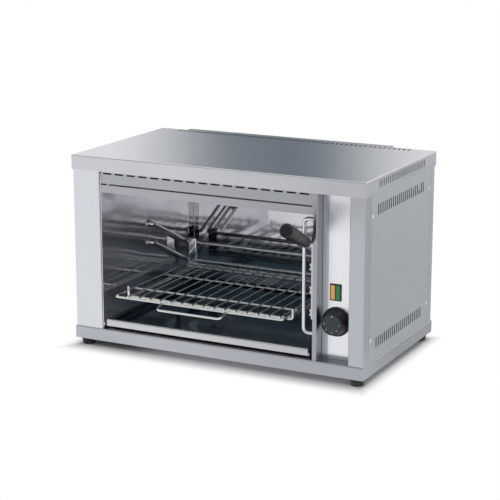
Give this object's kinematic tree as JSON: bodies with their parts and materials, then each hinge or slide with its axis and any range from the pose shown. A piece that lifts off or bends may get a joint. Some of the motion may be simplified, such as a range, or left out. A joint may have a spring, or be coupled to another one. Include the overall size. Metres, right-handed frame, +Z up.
{
  "type": "countertop cheese melter",
  "caption": "Open-fronted stainless countertop cheese melter with heater tubes, a wire grid raised by a lever on a parallel linkage, a crumb tray, a control knob and a pilot lamp.",
  "frame": {"origin": "middle of the footprint, from the lever grip's front end to the rear casing, on the surface the feet stand on", "axes": "+X to the right seen from the open front, -Y out of the open front, +Z up"},
  "size_m": [0.6, 0.4506, 0.372],
  "materials": {
    "stainless": "satin brushed",
    "bright_stainless": "bright rolled",
    "side_stainless": "satin brushed",
    "cavity_stainless": "polished, lightly smudged",
    "galvanised": "galvanised",
    "reflector_sheet": "bright",
    "shield_sheet": "mill finish",
    "heater_sheath": "heat-darkened",
    "zinc_plate": "zinc plated",
    "tray_sheet": "polished",
    "chromed_rod": "bright chrome",
    "chromed_wire": "bright chrome",
    "brass": "plain",
    "spring_steel": "plain",
    "black_grip": "gloss",
    "black_knob": "semi-gloss",
    "bakelite": "ivory",
    "black_bezel": "gloss",
    "orange_lens": "translucent",
    "green_lens": "translucent",
    "porcelain": "glazed",
    "black_gland": "matt",
    "rubber": "matt"
  },
  "bodies": {
    "cabinet": {"top_cover": "stainless", "base_pan": "stainless", "left_column": "stainless", "right_column": "stainless", "rear_post_left": "side_stainless", "rear_post_right": "side_stainless", "left_side_panel": "side_stainless", "right_side_panel": "side_stainless", "back_panel": "side_stainless", "rear_casing": "galvanised", "front_frame": "stainless", "control_panel": "bright_stainless", "cavity_left_wall": "cavity_stainless", "cavity_right_wall": "cavity_stainless", "cavity_back_wall": "cavity_stainless", "reflector": "reflector_sheet", "heat_shield": "shield_sheet", "heater_front": "heater_sheath", "heater_middle": "heater_sheath", "heater_rear": "heater_sheath", "heater_terminals": "zinc_plate", "heater_hanger_left": "galvanised", "heater_hanger_right": "galvanised", "tray_runner_left": "bright_stainless", "tray_runner_right": "bright_stainless", "notch_rack": "stainless", "guide_rod": "chromed_rod", "pivot_bushes": "zinc_plate", "energy_regulator": "bakelite", "regulator_nut": "brass", "pilot_bezel": "black_bezel", "orange_lens": "orange_lens", "green_lens": "green_lens", "terminal_block": "porcelain", "cable_gland": "black_gland", "panel_screws": "zinc_plate", "casing_screws": "zinc_plate", "foot_front_left": "rubber", "foot_front_right": "rubber", "foot_rear_left": "rubber", "foot_rear_right": "rubber", "foot_screws": "zinc_plate"},
    "lower": {"lower_arm_rod": "chromed_rod", "lower_clips": "spring_steel", "lever_grip": "black_grip"},
    "upper": {"upper_arm_rod": "chromed_rod", "upper_clips": "spring_steel"},
    "carrier": {"lift_bracket_left": "bright_stainless", "lift_bracket_right": "bright_stainless", "grid_carrier": "chromed_rod"},
    "grid": {"wire_grid": "chromed_wire", "pull_loop": "chromed_wire"},
    "tray": {"crumb_tray": "tray_sheet"},
    "knob": {"knob": "black_knob", "regulator_shaft": "zinc_plate"}
  },
  "joints": [
    {"name": "lift", "type": "hinge", "parent": "cabinet", "child": "lower", "pos_m": [0, 0.03979, 0.1713], "axis": [1, 0, 0], "range_deg": [0, 40.3]},
    {"name": "upper_swing", "type": "hinge", "parent": "cabinet", "child": "upper", "pos_m": [0, 0.03979, 0.2093], "axis": [1, 0, 0], "range_deg": [0, 40.3]},
    {"name": "carrier_level", "type": "hinge", "parent": "lower", "child": "carrier", "pos_m": [0, 0.17732, 0.10658], "axis": [1, 0, 0], "range_deg": [-40.3, 0]},
    {"name": "grid_slide", "type": "slide", "parent": "carrier", "child": "grid", "axis": [0, -1, 0], "range_m": [0, 0.033]},
    {"name": "tray_slide", "type": "slide", "parent": "cabinet", "child": "tray", "axis": [0, -1, 0], "range_m": [0, 0.25]},
    {"name": "knob_turn", "type": "hinge", "parent": "cabinet", "child": "knob", "pos_m": [0.2365, 0, 0.109], "axis": [0, 1, 0], "range_deg": [0, 280]}
  ],
  "couplings": [
    {"joint": "upper_swing", "follows": "lift", "ratio": 1},
    {"joint": "carrier_level", "follows": "lift", "ratio": -1}
  ]
}
